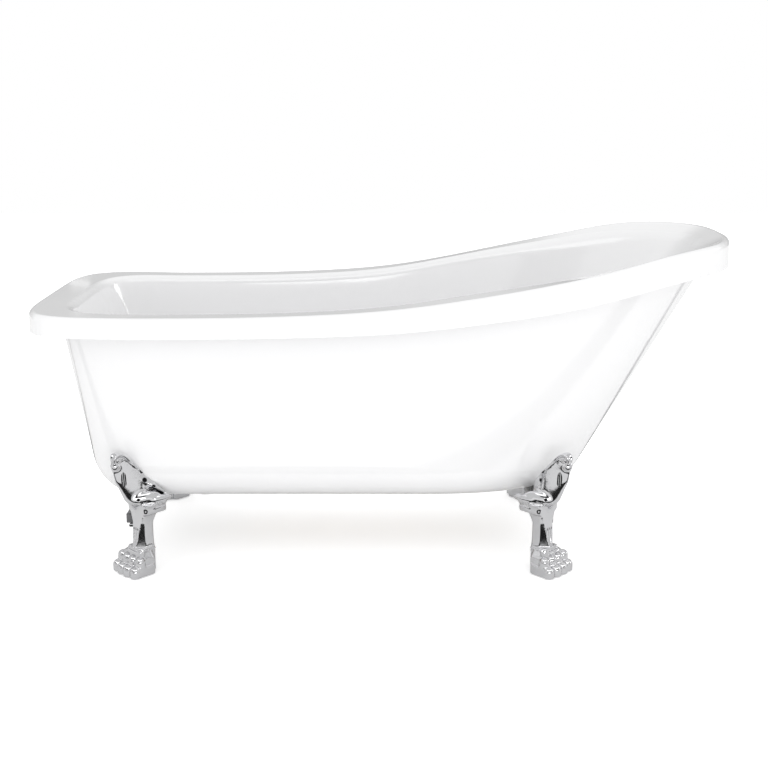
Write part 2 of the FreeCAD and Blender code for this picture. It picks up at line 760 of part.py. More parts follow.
def make_casting():
    """Paw, fluted leg and ridged shield, before it is fitted to the tub."""
    paw_top = toe_top - paw_step
    toe_line = paw_front - toe_radius
    knuckle_line = toe_line - knuckle_setback
    casting = level_block(toe_line, -paw_back, paw_width / 2.0, paw_corner, leveller_proud, paw_top)
    heel_top = instep_top - paw_step
    heel = level_block(paw_corner, -heel_back, heel_half_width, heel_corner, leveller_proud, heel_top)
    instep_back = -paw_back - past
    instep_half_width = paw_width / 2.0 - instep_inset
    instep_slope = 2.0 * instep_round
    slope_start = knuckle_top - instep_round
    instep = Part.makeLoft([
        rounded_rectangle(knuckle_line, instep_back, instep_half_width, heel_corner, paw_top - paw_step),
        rounded_rectangle(knuckle_line, instep_back, instep_half_width, heel_corner, slope_start),
        rounded_rectangle(knuckle_line - instep_slope, instep_back, instep_half_width - instep_slope,
                          heel_corner, instep_top)], True, True)
    leg_sections = [rounded_rectangle(leg_half_depth + ahead, -leg_half_depth - behind,
                                      leg_half_width + side, leg_corner, height)
                    for height, ahead, behind, side in LEG_STATIONS]
    leg = Part.makeLoft(leg_sections, True, True)
    ridge_sections = []
    for rise, front, back, side in RIDGE_STATIONS:
        middle = Vector((front + back) / 2.0, 0, skin_bottom_height + rise)
        ellipse = Part.Ellipse(middle, (front - back) / 2.0, side)
        ridge_sections.append(Part.Wire([ellipse.toShape()]))
    ridge = Part.makeLoft(ridge_sections, True, True)
    crest_start = Vector(crest_reach, -crest_width / 2.0, crest_height - crest_radius)
    crest = Part.makeCylinder(crest_radius, crest_width, crest_start, Vector(0, 1, 0))
    toes = toe_row(toe_radius, toe_radius, leveller_proud, toe_top)
    knuckles = toe_row(toe_radius + knuckle_setback, knuckle_radius, toe_top - 2.0 * paw_step, knuckle_top)
    for piece in [heel, instep, leg, ridge, crest] + toes + knuckles:
        casting = casting.fuse(piece)
    flute_foot = Vector(leg_half_depth + flute_lean, 0, instep_top + flute_radius)
    flute_head = Vector(leg_half_depth + flute_radius / 2.0, 0, skin_bottom_height - flute_top_drop)
    for q in (-flute_pitch, 0.0, flute_pitch):
        casting = casting.cut(Part.makeCylinder(flute_radius, (flute_head - flute_foot).Length,
                                                flute_foot + Vector(0, q, 0), flute_head - flute_foot))
    return casting


def make_wings():
    """Leaf outline of the shield, seen from the front, as a thick prism."""
    front = paw_front + shield_thickness
    points = [Vector(front, q, skin_bottom_height + rise) for q, rise in WING_OUTLINE]
    points += [Vector(front, -q, skin_bottom_height + rise) for q, rise in reversed(WING_OUTLINE[1:-1])]
    points.append(points[0])
    return Part.Face(Part.makePolygon(points)).extrude(Vector(-front - wing_back, 0, 0))


def stand(shape, x, facing):
    """Turn a foot from its own frame to its place on the near side; facing is -1 at the deck end."""
    placed = shape.copy()
    heading = -90.0 + facing * foot_turn
    placed.rotate(Vector(0, 0, 0), UP, heading)
    placed.translate(Vector(x, -foot_y, 0))
    return placed


def make_foot(x, member_x, facing, clearance_belly, thick_belly):
    """One near-side claw foot, cut to hug the skin and bored for its leveller and bolt."""
    casting = stand(make_casting(), x, facing)
    wings = stand(make_wings(), x, facing).common(thick_belly)
    foot = casting.fuse(wings)
    lug_outer = member_width / 2.0 - lug_inset
    lug_edges = sorted((member_x + facing * lug_outer, member_x + facing * (lug_outer - lug_width)))
    lug = box((lug_edges[0], -lug_front_y, member_bottom - lug_thickness),
              (lug_edges[1], -lug_back_y, member_bottom))
    foot = foot.fuse(lug).cut(clearance_belly)
    room = box((member_x - member_width / 2.0 - member_gap, -member_half_length - member_gap, member_bottom),
               (member_x + member_width / 2.0 + member_gap, 0.0, member_top + member_gap))
    foot = foot.cut(room)
    foot = foot.cut(cylinder(bolt_radius + bolt_clearance, member_bottom - lug_thickness - past,
                             member_bottom + past, member_x, -bolt_y))
    recess = cylinder(leveller_pad_radius + leveller_recess_gap, 0.0,
                      leveller_pad_height + leveller_rest_gap, *leveller_place(x, facing))
    stem_top = leveller_pad_height + leveller_stem_length + leveller_recess_gap
    stem_bore = cylinder(leveller_stem_radius + leveller_running_gap, 0.0, stem_top,
                         *leveller_place(x, facing))
    foot = foot.cut(recess).cut(stem_bore)
    return max(foot.Solids, key=lambda solid: solid.Volume)


def leveller_place(x, facing):
    """Plan position of a leveller under the middle of a near-side paw."""
    heading = math.radians(-90.0 + facing * foot_turn)
    ahead = (paw_front - paw_back) / 2.0
    return x + ahead * math.cos(heading), -foot_y + ahead * math.sin(heading)


def mirrored(shape):
    """The same piece on the far side of the tub."""
    return shape.mirror(Vector(0, 0, 0), Vector(0, 1, 0))


def make_bolt(x, y):
    """Hexagon-headed bolt up through a foot's lug into a cross member."""
    head_top = member_bottom - lug_thickness - washer_thickness
    head = hexagon(bolt_head_across, head_top - bolt_head_height, head_top, x, y)
    shank = cylinder(bolt_radius, head_top, member_bottom + member_wall + nut_height + bolt_end, x, y)
    return head.fuse(shank)


def make_washer(x, y):
    """Washer under a bolt head."""
    top = member_bottom - lug_thickness
    return tube(washer_radius, bolt_radius + bolt_clearance, top - washer_thickness, top, x, y)


def make_nut(x, y):
    """Nut welded inside a cross member."""
    bottom = member_bottom + member_wall
    nut = hexagon(bolt_head_across, bottom, bottom + nut_height, x, y)
    return nut.cut(cylinder(bolt_radius + thread_gap, bottom - past, bottom + nut_height + past, x, y))


# ---------------------------------------------------------------- waste and plug
floor_top = basin_floor_height
floor_under = basin_floor_height - shell_thickness
flange_bottom = floor_top + waste_gasket_thickness
flange_top = flange_bottom + waste_flange_thickness
hub_top = flange_bottom - waste_hub_depth
plug_seat = flange_top + plug_rest_gap
backnut_top = floor_under - lower_gasket_thickness


def make_waste_body():
    """Flanged waste with a hub on three ribs for the plug's guide."""
    flange = cylinder(waste_flange_radius, flange_bottom, flange_top, waste_x)
    barrel = cylinder(waste_barrel_radius, waste_barrel_bottom, flange_bottom, waste_x)
    bore = cylinder(waste_barrel_bore, waste_barrel_bottom - past, flange_top + past, waste_x)
    body = flange.fuse(barrel).cut(bore)
    hub_bottom = hub_top - waste_hub_height
    web = cylinder(waste_hub_radius, hub_bottom, hub_top, waste_x)
    for spoke in range(waste_rib_count):
        rib = box((0.0, -waste_rib_thickness / 2.0, hub_bottom),
                  ((waste_barrel_bore + waste_barrel_radius) / 2.0, waste_rib_thickness / 2.0, hub_top))
        rib.rotate(Vector(0, 0, 0), UP, 360.0 * spoke / waste_rib_count)
        rib.translate(Vector(waste_x, 0, 0))
        web = web.fuse(rib)
    return body.fuse(web).cut(cylinder(waste_hub_bore, hub_bottom - past, hub_top + past, waste_x))


def make_plug_guide():
    """Sleeve in the waste's hub that the plug's stem slides in."""
    top = hub_top + guide_collar
    bottom = top - guide_length
    sleeve = cylinder(waste_hub_bore, bottom, hub_top, waste_x)
    collar = cylinder(waste_hub_radius, hub_top, top, waste_x)
    bore = cylinder(plug_stem_radius + plug_running_gap, bottom - past, top + past, waste_x)
    return sleeve.fuse(collar).cut(bore)


def make_plug():
    """Domed plug with a groove for its seal and a stem."""
    edge_top = plug_seat + plug_edge
    rim = cylinder(plug_radius, plug_seat, edge_top, waste_x)
    ball_radius = (plug_radius ** 2 + plug_dome ** 2) / (2.0 * plug_dome)
    ball = Part.makeSphere(ball_radius, Vector(waste_x, 0, edge_top + plug_dome - ball_radius))
    dome = ball.common(cylinder(plug_radius, edge_top, edge_top + plug_dome + past, waste_x))
    neck = cylinder(seal_inner_radius, plug_seat - seal_thickness - seal_land, plug_seat, waste_x)
    stem = cylinder(plug_stem_radius, plug_seat - plug_stem_length, plug_seat, waste_x)
    return rim.fuse(dome).fuse(neck).fuse(stem)


def make_plug_seal():
    """Rubber ring under the plug."""
    return tube(waste_barrel_bore - plug_rest_gap, seal_inner_radius + slip_gap, plug_seat - seal_thickness,
                plug_seat, waste_x)


def make_waste_tee():
    """Tee under the waste: socket, branch to the overflow and tail for a trap."""
    socket = cylinder(tee_outer_radius, tee_shoulder, tee_top, waste_x)
    tail = cylinder(tail_radius, tail_bottom, tee_shoulder, waste_x)
    branch = Part.makeCylinder(tee_branch_radius, tee_branch_reach, Vector(waste_x, 0, tee_branch_z), OUT)
    body = socket.fuse(tail).fuse(branch)
    body = body.cut(cylinder(waste_barrel_radius + slip_gap, waste_barrel_bottom, tee_top + past, waste_x))
    body = body.cut(cylinder(waste_barrel_bore, tee_shoulder + tee_wall, waste_barrel_bottom + past, waste_x))
    body = body.cut(cylinder(tail_radius - tail_wall, tail_bottom - past, tee_shoulder + tee_wall + past,
                             waste_x))
    start = Vector(waste_x - waste_barrel_bore + past, 0, tee_branch_z)
    return body.cut(Part.makeCylinder(pipe_radius + slip_gap, tee_branch_reach, start, OUT))


# ---------------------------------------------------------------- overflow


# Distances from the basin wall's face, into the basin above zero and behind the wall below it
front_gasket_start = overflow_wall_gap
back_gasket_start = -shell_thickness - overflow_wall_gap - overflow_gasket_thickness
plate_back = front_gasket_start + overflow_gasket_thickness
body_front = back_gasket_start
body_back = body_front - overflow_body_depth
screw_tip = body_front - overflow_screw_bite
deck_middle = SECTIONS[STATIONS.index(("deck", 0.0, -1.0))]


def overflow_seat():
    """Centre of the overflow on the basin wall, with the wall's normal into the basin."""
    foot = deck_middle.basin_foot
    lean = foot.lean_to(deck_middle.mouth)
    normal = foot.outwards * (-math.sin(lean)) + UP * math.cos(lean)
    return foot.wall_point(deck_middle.mouth, 0.0, overflow_height), normal


def overflow_bar(radius, start, finish):
    """Round bar square to the basin wall at the overflow, from one distance in to another."""
    seat, normal = overflow_seat()
    return Part.makeCylinder(radius, finish - start, seat + normal * start, normal)


def make_overflow_plate():
    """Round cover plate with a water slot below its middle."""
    back = plate_back
    front = back + overflow_plate_thickness
    plate = overflow_bar(overflow_plate_radius, back, front)
    plate = plate.cut(overflow_bar(overflow_screw_radius + overflow_screw_gap, back - past, front + past))
    seat = overflow_seat()[0]
    slot = box((seat.x - overflow_plate_radius, -overflow_slot_width / 2.0,
                seat.z - overflow_slot_drop - overflow_slot_height / 2.0),
               (seat.x + overflow_plate_radius, overflow_slot_width / 2.0,
                seat.z - overflow_slot_drop + overflow_slot_height / 2.0))
    return plate.cut(slot)


def make_overflow_gasket(start):
    """Rubber washer on one side of the basin wall."""
    finish = start + overflow_gasket_thickness
    disc = overflow_bar(overflow_body_radius, start, finish)
    return disc.cut(overflow_bar(overflow_hole_radius, start - past, finish + past))


def make_overflow_body():
    """Overflow body behind the basin wall, with a screw boss and an outlet spigot downwards."""
    body = overflow_bar(overflow_body_radius, body_back, body_front)
    body = body.cut(overflow_bar(overflow_hole_radius, body_back + overflow_body_wall, body_front + past))
    boss = overflow_bar(overflow_screw_radius + overflow_body_wall, body_back + overflow_body_wall / 2.0,
                        body_front + shell_thickness)
    body = body.fuse(boss).cut(overflow_bar(overflow_screw_radius, screw_tip - past, shell_thickness))
    top, below = pipe_points()[:2]
    down = (below - top).normalize()
    spigot_radius = pipe_radius - pipe_wall - slip_gap
    spigot_start = top - down * (2.0 * pipe_radius)
    spigot = Part.makeCylinder(spigot_radius, 2.0 * pipe_radius + pipe_spigot_length, spigot_start, down)
    bore = Part.makeCylinder(spigot_radius - pipe_wall, 3.0 * pipe_radius + pipe_spigot_length, spigot_start,
                             down)
    return body.fuse(spigot).cut(bore)


def make_overflow_screw():
    """Screw that pulls the cover plate to the overflow body."""
    seat = plate_back + overflow_plate_thickness
    head = overflow_bar(screw_head_radius, seat, seat + screw_head_height)
    return head.fuse(overflow_bar(overflow_screw_radius - screw_running_gap, screw_tip, seat))


def bent_path(points, radius):
    """Wire of straight runs joined by tangent arcs."""
    edges = []
    start = points[0]
    for before, corner, after in zip(points[:-2], points[1:-1], points[2:]):
        arriving = (corner - before).normalize()
        leaving = (after - corner).normalize()
        turn = math.acos(max(-1.0, min(1.0, arriving.dot(leaving))))
        setback = radius * math.tan(turn / 2.0)
        first = corner - arriving * setback
        last = corner + leaving * setback
        inwards = (leaving - arriving).normalize()
        middle = corner + inwards * (radius / math.cos(turn / 2.0) - radius)
        edges.append(Part.makeLine(start, first))
        edges.append(Part.Arc(first, middle, last).toShape())
        start = last
    edges.append(Part.makeLine(start, points[-1]))
    return Part.Wire(edges)


def swept(path, radius):
    """Round bar along a path."""
    start = path.Edges[0].Vertexes[0].Point
    heading = path.Edges[0].tangentAt(path.Edges[0].FirstParameter)
    circle = Part.Wire([Part.Circle(start, heading, radius).toShape()])
    return path.makePipeShell([circle], True, False)


def between(first, second):
    """Point halfway between two others."""
    return (first + second) * 0.5


def pipe_points():
    """Corners of the overflow pipe's route, down between the two shells to the tee."""
    seat, normal = overflow_seat()
    basin = deck_middle.basin_foot
    skin = deck_middle.skin_foot
    top = seat + normal * ((body_front + body_back) / 2.0) - UP * (overflow_body_radius + pipe_drop)
    high = between(basin.wall_point(deck_middle.mouth, shell_thickness, pipe_wall_height),
                   skin.wall_point(deck_middle.skin_head, -skin_thickness, pipe_wall_height))
    low = between(deck_middle.basin_corner(shell_thickness, pipe_corner_share),
                  deck_middle.skin_corner(-skin_thickness, pipe_corner_share))
    slot = Vector(skin_slot_deck_x + pipe_slot_entry, 0, skin_bottom_height + pipe_slot_height)
    mouth_x = waste_x - tee_branch_reach
    return [top, high, low, slot, Vector(mouth_x - pipe_straight, 0, tee_branch_z),
            Vector(mouth_x + pipe_insertion, 0, tee_branch_z)]


def make_overflow_pipe():
    """Pipe down between the two shells to the waste tee."""
    path = bent_path(pipe_points(), pipe_bend_radius)
    return swept(path, pipe_radius).cut(swept(path, pipe_radius - pipe_wall))


# ---------------------------------------------------------------- write the pieces
os.makedirs("parts", exist_ok=True)

save("inner_shell", make_inner_shell())
save("outer_skin", make_outer_skin())
save("rim_bond", make_rim_bond())
save("base_board", make_base_board())

hugging = belly(shield_gap, hug_top)
thick = belly(shield_gap + shield_thickness, hug_top)
corners = (("deck", foot_deck_x, deck_member_x, -1.0), ("slipper", foot_slipper_x, slipper_member_x, 1.0))
bolts = []
washers = []
nuts = []
for end, foot_x, member_x, facing in corners:
    save("cross_member_" + end, make_member(member_x))
    foot = make_foot(foot_x, member_x, facing, hugging, thick)
    save("claw_foot_" + end + "_near", foot)
    save("claw_foot_" + end + "_far", mirrored(foot))
    place = leveller_place(foot_x, facing)
    pad = cylinder(leveller_pad_radius, 0.0, leveller_pad_height, *place)
    socket = cylinder(leveller_stem_radius, leveller_pad_height / 2.0, leveller_pad_height + 1.0, *place)
    pad = pad.cut(socket)
    stem = cylinder(leveller_stem_radius, leveller_pad_height / 2.0,
                    leveller_pad_height + leveller_stem_length, *place)
    for side_name, keep in (("near", lambda shape: shape), ("far", mirrored)):
        save("leveller_pad_" + end + "_" + side_name, keep(pad))
        save("leveller_stem_" + end + "_" + side_name, keep(stem))
    for side_name, side in (("near", -1.0), ("far", 1.0)):
        save("packer_" + end + "_" + side_name, make_packer(member_x, side))
        bolts.append(make_bolt(member_x, side * bolt_y))
        washers.append(make_washer(member_x, side * bolt_y))
        nuts.append(make_nut(member_x, side * bolt_y))
save("foot_bolts", Part.makeCompound(bolts))
save("foot_washers", Part.makeCompound(washers))
save("member_nuts", Part.makeCompound(nuts))

save("waste_body", make_waste_body())
gasket_bore = waste_barrel_radius + waste_bore_gap
save("waste_gasket_upper", tube(waste_gasket_radius, gasket_bore, floor_top, flange_bottom, waste_x))
save("waste_gasket_lower", tube(backnut_radius, gasket_bore, backnut_top, floor_under, waste_x))
save("waste_backnut", tube(backnut_radius, waste_barrel_radius + thread_gap, backnut_top - backnut_height,
                           backnut_top, waste_x))
save("waste_tee", make_waste_tee())
save("plug_guide", make_plug_guide())
save("waste_plug", make_plug())
save("plug_seal", make_plug_seal())
save("overflow_plate", make_overflow_plate())
save("overflow_screw", make_overflow_screw())
save("overflow_gasket_front", make_overflow_gasket(front_gasket_start))
save("overflow_gasket_back", make_overflow_gasket(back_gasket_start))
save("overflow_body", make_overflow_body())
save("overflow_pipe", make_overflow_pipe())
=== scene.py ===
# %% [markdown]
# # A slipper bathtub on claw feet
# The tub in the photograph is a double-walled acrylic bath with one raised, rounded end, a flat deck at the
# other end and four chromed claw feet. The CAD model already holds every piece at its real size. This
# lesson dresses it: finishes on every piece, cast ornament on the feet, and a plain studio.

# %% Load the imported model
import json
import math

import bpy
from mathutils import Matrix, Vector


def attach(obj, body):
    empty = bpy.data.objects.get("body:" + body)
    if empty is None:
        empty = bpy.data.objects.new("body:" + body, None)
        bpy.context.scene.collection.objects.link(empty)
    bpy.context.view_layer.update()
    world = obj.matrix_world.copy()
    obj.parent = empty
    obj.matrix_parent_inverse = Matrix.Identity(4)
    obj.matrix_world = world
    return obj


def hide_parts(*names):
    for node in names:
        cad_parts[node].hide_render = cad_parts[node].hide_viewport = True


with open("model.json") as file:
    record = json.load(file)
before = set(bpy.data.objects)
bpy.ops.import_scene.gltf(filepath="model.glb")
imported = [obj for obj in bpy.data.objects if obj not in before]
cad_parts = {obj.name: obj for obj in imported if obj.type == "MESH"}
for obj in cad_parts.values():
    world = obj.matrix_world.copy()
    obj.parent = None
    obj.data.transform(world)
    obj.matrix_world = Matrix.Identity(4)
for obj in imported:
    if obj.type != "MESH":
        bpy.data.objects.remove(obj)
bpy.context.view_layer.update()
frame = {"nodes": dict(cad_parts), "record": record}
nodes = frame["nodes"]


# %% [markdown]
# ## Small helpers for modelling
# Blender's operators act on whatever is selected. Each step below therefore starts by selecting nothing and
# then exactly one object, as one would do by hand with the mouse.


# %% Selection helpers
def select_only(thing):
    """Leave one object selected and active."""
    if bpy.context.object and bpy.context.object.mode != "OBJECT":
        bpy.ops.object.mode_set(mode="OBJECT")
    bpy.ops.object.select_all(action="DESELECT")
    thing.select_set(True)
    bpy.context.view_layer.objects.active = thing


def settle(thing):
    """Write an object's place, turn and scale into its mesh."""
    select_only(thing)
    bpy.ops.object.transform_apply(location=True, rotation=True, scale=True)
    return thing


def apply_modifier(thing, kind, **settings):
    """Add one modifier, set it and apply it."""
    select_only(thing)
    bpy.ops.object.modifier_add(type=kind)
    modifier = thing.modifiers[-1]
    for name, value in settings.items():
        setattr(modifier, name, value)
    bpy.ops.object.modifier_apply(modifier=modifier.name)


# %% [markdown]
# ## Shader maths as plain expressions
# A material is a graph of nodes. Wrapping a socket in a small class lets the graph be written as sums and
# products, which read more easily than dozens of links drawn by hand.


# %% Socket class
class Socket:
    """One output socket; sums and products of these add Math nodes."""

    def __init__(self, graph, output):
        self.graph = graph
        self.output = output

    def math(self, operation, first, second):
        return self.graph.node("ShaderNodeMath", {"operation": operation}, {0: first, 1: second})

    def __add__(self, other):
        return self.math("ADD", self, other)

    def __radd__(self, other):
        return self.math("ADD", other, self)

    def __sub__(self, other):
        return self.math("SUBTRACT", self, other)

    def __rsub__(self, other):
        return self.math("SUBTRACT", other, self)

    def __mul__(self, other):
        return self.math("MULTIPLY", self, other)

    def __rmul__(self, other):
        return self.math("MULTIPLY", other, self)

    def __truediv__(self, other):
        return self.math("DIVIDE", self, other)

    def __pow__(self, other):
        return self.math("POWER", self, other)


class Graph:
    """The node tree of one material."""

    def __init__(self, name):
        self.material = bpy.data.materials.new(name)
        self.material.use_nodes = True
        self.tree = self.material.node_tree
        self.tree.nodes.clear()

    def node(self, kind, settings=None, inputs=None, output=0):
        """Add any node: its settings first, then values or links for its sockets."""
        made = self.tree.nodes.new(kind)
        for name, value in (settings or {}).items():
            setattr(made, name, value)
        for name, value in (inputs or {}).items():
            if isinstance(value, Socket):
                self.tree.links.new(value.output, made.inputs[name])
            else:
                made.inputs[name].default_value = value
        return Socket(self, made.outputs[output]) if len(made.outputs) else None

    def place(self):
        """The position on the piece, in metres."""
        return self.node("ShaderNodeTexCoord", output="Object")

    def noise(self, scale, detail=2.0, roughness=0.5, vector=None):
        """Soft random variation between 0 and 1."""
        return self.node("ShaderNodeTexNoise", None, {"Vector": vector or self.place(), "Scale": scale,
                                                      "Detail": detail, "Roughness": roughness}, "Fac")

    def stretched(self, x, y, z):
        """The position on the piece, stretched along its axes."""
        return self.node("ShaderNodeMapping", None, {"Vector": self.place(), "Scale": (x, y, z)})

    def mix(self, share, first, second):
        """Blend of two colours."""
        made = self.tree.nodes.new("ShaderNodeMix")
        made.data_type = "RGBA"
        for index, value in ((0, share), (6, first), (7, second)):
            if isinstance(value, Socket):
                self.tree.links.new(value.output, made.inputs[index])
            elif index == 0:
                made.inputs[0].default_value = value
            else:
                made.inputs[index].default_value = (*value, 1.0)
        return Socket(self, made.outputs[2])

    def fade(self, value, start, finish):
        """Smooth change from 0 to 1 as a value goes from start to finish."""
        return self.node("ShaderNodeMapRange", {"interpolation_type": "SMOOTHSTEP"},
                         {"Value": value, "From Min": start, "From Max": finish})

    def bump(self, height, distance, strength=1.0):
        """Small relief from a height."""
        return self.node("ShaderNodeBump", None,
                         {"Height": height, "Distance": distance, "Strength": strength})

    def finish(self, **sockets):
        """Close the graph with a Principled shader."""
        names = {"base": "Base Color", "rough": "Roughness", "metal": "Metallic", "coat": "Coat Weight",
                 "coat_rough": "Coat Roughness", "normal": "Normal"}
        inputs = {}
        for name, value in sockets.items():
            if name == "base" and not isinstance(value, Socket):
                value = (*value, 1.0)
            inputs[names[name]] = value
        shader = self.node("ShaderNodeBsdfPrincipled", None, inputs)
        self.node("ShaderNodeOutputMaterial", None, {"Surface": shader})
        return self.material


# %% [markdown]
# ## Finishes
# Each finish is a real one: moulded acrylic, chrome plate on a casting, painted steel, zinc plate, rubber,
# nylon, brass, waste plastic, plywood and cured adhesive. None is a single flat colour, because real
# surfaces vary a little in tone, in gloss and in relief.


# %% Finishes
def acrylic():
    """Glossy moulded sheet, with the faint waviness that a vacuum-formed sheet keeps."""
    g = Graph("tub_acrylic")
    tone = g.noise(2.5, 3.0)
    ripple = g.noise(9.0, 1.0)
    haze = g.noise(28.0, 4.0)
    return g.finish(base=g.mix(tone, (0.885, 0.885, 0.892), (0.905, 0.905, 0.908)),
                    rough=0.05 + haze * 0.05, coat=0.5, coat_rough=0.03,
                    normal=g.bump(ripple, 0.0006, 0.25))


def plate_chrome():
    """Polished chrome on machined fittings."""
    g = Graph("fitting_chrome")
    polish = g.noise(180.0, 2.0)
    return g.finish(base=g.mix(polish, (0.74, 0.74, 0.75), (0.80, 0.80, 0.81)), metal=1.0,
                    rough=0.06 + polish * 0.06, normal=g.bump(polish, 0.00005, 0.3))


def painted_steel():
    """Grey coating on steel tube, with the grain of sprayed paint."""
    g = Graph("frame_paint")
    grain = g.noise(900.0, 2.0)
    tone = g.noise(12.0, 4.0)
    return g.finish(base=g.mix(tone, (0.24, 0.245, 0.25), (0.30, 0.305, 0.31)),
                    rough=0.42 + tone * 0.15, normal=g.bump(grain, 0.0001, 0.5))


def zinc():
    """Zinc plate with its fine spangle."""
    g = Graph("bolt_zinc")
    spangle = g.node("ShaderNodeTexVoronoi", None, {"Vector": g.place(), "Scale": 700.0}, "Distance")
    return g.finish(base=g.mix(spangle, (0.55, 0.55, 0.54), (0.72, 0.72, 0.70)), metal=1.0,
                    rough=0.28 + spangle * 0.15)


def rubber(name, low, high):
    """Dense black rubber or nylon, slightly dusty."""
    g = Graph(name)
    dust = g.noise(70.0, 5.0, 0.65)
    grain = g.noise(1400.0, 2.0)
    return g.finish(base=g.mix(dust, low, high), rough=0.55 + dust * 0.25, normal=g.bump(grain, 0.00008, 0.5))


def brass():
    """Machined brass with fine turning marks round the upright axis."""
    g = Graph("nut_brass")
    marks = g.node("ShaderNodeTexWave", {"bands_direction": "Z"},
                   {"Vector": g.place(), "Scale": 380.0, "Distortion": 0.6}, "Fac")
    tone = g.noise(25.0, 4.0)
    return g.finish(base=g.mix(tone, (0.62, 0.45, 0.17), (0.76, 0.60, 0.29)), metal=1.0,
                    rough=0.22 + tone * 0.16, normal=g.bump(marks, 0.00004, 0.5))


def waste_plastic():
    """White moulded waste fitting with a fine matt texture."""
    g = Graph("waste_plastic")
    grain = g.noise(650.0, 3.0)
    tone = g.noise(10.0, 3.0)
    return g.finish(base=g.mix(tone, (0.78, 0.78, 0.755), (0.84, 0.84, 0.82)), rough=0.38 + grain * 0.12,
                    normal=g.bump(grain, 0.00006, 0.5))


def plywood():
    """Resin-sealed plywood: grain along the tub and thin plies on its edges."""
    g = Graph("base_plywood")
    grain = g.noise(22.0, 6.0, 0.6, g.stretched(1.0, 14.0, 14.0))
    plies = g.node("ShaderNodeTexWave", {"bands_direction": "Z"},
                   {"Vector": g.place(), "Scale": 50.0, "Distortion": 0.2}, "Fac")
    tone = g.mix(grain, (0.36, 0.25, 0.14), (0.55, 0.42, 0.26))
    return g.finish(base=g.mix(plies * 0.35, tone, (0.28, 0.18, 0.10)), rough=0.45 + grain * 0.2,
                    normal=g.bump(grain, 0.0002, 0.4))


def adhesive():
    """Cured bead of paste adhesive, uneven as it squeezed out."""
    g = Graph("rim_adhesive")
    lumps = g.noise(120.0, 4.0)
    return g.finish(base=g.mix(lumps, (0.60, 0.58, 0.52), (0.70, 0.68, 0.62)), rough=0.5 + lumps * 0.2,
                    normal=g.bump(lumps, 0.0008, 0.6))


FINISHES = {
    "acrylic_white": acrylic(), "bond": adhesive(), "board": plywood(), "frame_steel": painted_steel(),
    "packer": rubber("packer_rubber", (0.035, 0.035, 0.035), (0.075, 0.073, 0.070)),
    "chrome": plate_chrome(), "zinc": zinc(),
    "leveller_pad": rubber("pad_nylon", (0.030, 0.030, 0.032), (0.055, 0.055, 0.057)),
    "gasket": rubber("gasket_rubber", (0.022, 0.022, 0.022), (0.045, 0.044, 0.043)),
    "nut_brass": brass(), "pipe_plastic": waste_plastic(),
}
for part in frame["record"]["subparts"]:
    thing = nodes[part["node"]]
    thing.data.materials.clear()
    thing.data.materials.append(FINISHES[part["material_slot"]])
print("finishes:", len(FINISHES))

# %% [markdown]
# ## Claw feet
# A real claw foot is one casting: toes in two rows, a fluted ankle, and a leaf-shaped shield with a ridge and
# a curled crest that stands free of the tub. It could be sculpted freely, but then it might not touch the
# tub. So a copy of the plain CAD casting is the clay, ornament is added to it as simple rounded forms, and a
# remesh joins them into one skin. All of it is done in the foot's own frame, where it faces +X, and only the
# finished foot is turned to its corner of the tub.

# %% Where the feet stand
MM = 0.001
LEG = {"deck": Vector((-0.5375, -0.240, 0.0)), "slipper": Vector((0.356, -0.240, 0.0))}
TURN = {"deck": math.radians(-135.0), "slipper": math.radians(-45.0)}


def foot_frame(end):
    """From the foot's own frame, facing +X, to its place under the near side of the tub."""
    return Matrix.Translation(LEG[end]) @ Matrix.Rotation(TURN[end], 4, "Z")


print("legs stand at", LEG)


# %% [markdown]
# ### Clay forms
# Two forms make all the ornament: a lump, which is a squashed ball, and a roll, which is a bent tapering
# bar. Both are also used as gouges, to cut hollows instead of adding to them.


# %% Lumps and rolls
def lump(place, size, turn=0.0):
    """Rounded lump of clay by its middle and half sizes in millimetres, turned about the upright."""
    bpy.ops.object.select_all(action="DESELECT")
    bpy.ops.mesh.primitive_uv_sphere_add(segments=32, ring_count=18, radius=1.0,
                                         location=[MM * value for value in place],
                                         rotation=(0.0, 0.0, math.radians(turn)),
                                         scale=[MM * value for value in size])
    return settle(bpy.context.object)


def roll(points, thickness):
    """Bent tapering roll of clay through points, with its half thickness at each, in millimetres."""
    curve = bpy.data.curves.new("roll", "CURVE")
    curve.dimensions = "3D"
    curve.bevel_depth = MM
    curve.bevel_resolution = 4
    curve.resolution_u = 8
    curve.use_fill_caps = True
    spline = curve.splines.new("NURBS")
    spline.points.add(len(points) - 1)
    for point, place, half in zip(spline.points, points, thickness):
        point.co = (*[MM * value for value in place], 1.0)
        point.radius = half
    spline.order_u = 3
    spline.use_endpoint_u = True
    thing = bpy.data.objects.new("roll", curve)
    bpy.context.collection.objects.link(thing)
    select_only(thing)
    bpy.ops.object.convert(target="MESH")
    return bpy.context.object


def joined(things):
    """One object from several."""
    select_only(things[0])
    for thing in things:
        thing.select_set(True)
    bpy.ops.object.join()
    return bpy.context.object


# %% The plain casting as a start
def plain_casting(end):
    """Copy of the CAD casting in the foot's own frame, with its loose triangles merged."""
    source = nodes["claw_foot_" + end + "_near"]
    casting = source.copy()
    casting.data = source.data.copy()
    casting.name = "claw_foot_cast_" + end + "_near"
    bpy.context.collection.objects.link(casting)
    casting.parent = None
    casting.matrix_world = foot_frame(end).inverted() @ source.matrix_world
    settle(casting)
    bpy.ops.object.mode_set(mode="EDIT")
    bpy.ops.mesh.select_all(action="SELECT")
    bpy.ops.mesh.remove_doubles(threshold=0.00001)
    bpy.ops.object.mode_set(mode="OBJECT")
    bpy.context.view_layer.update()
    return casting


RAY_START = 150.0


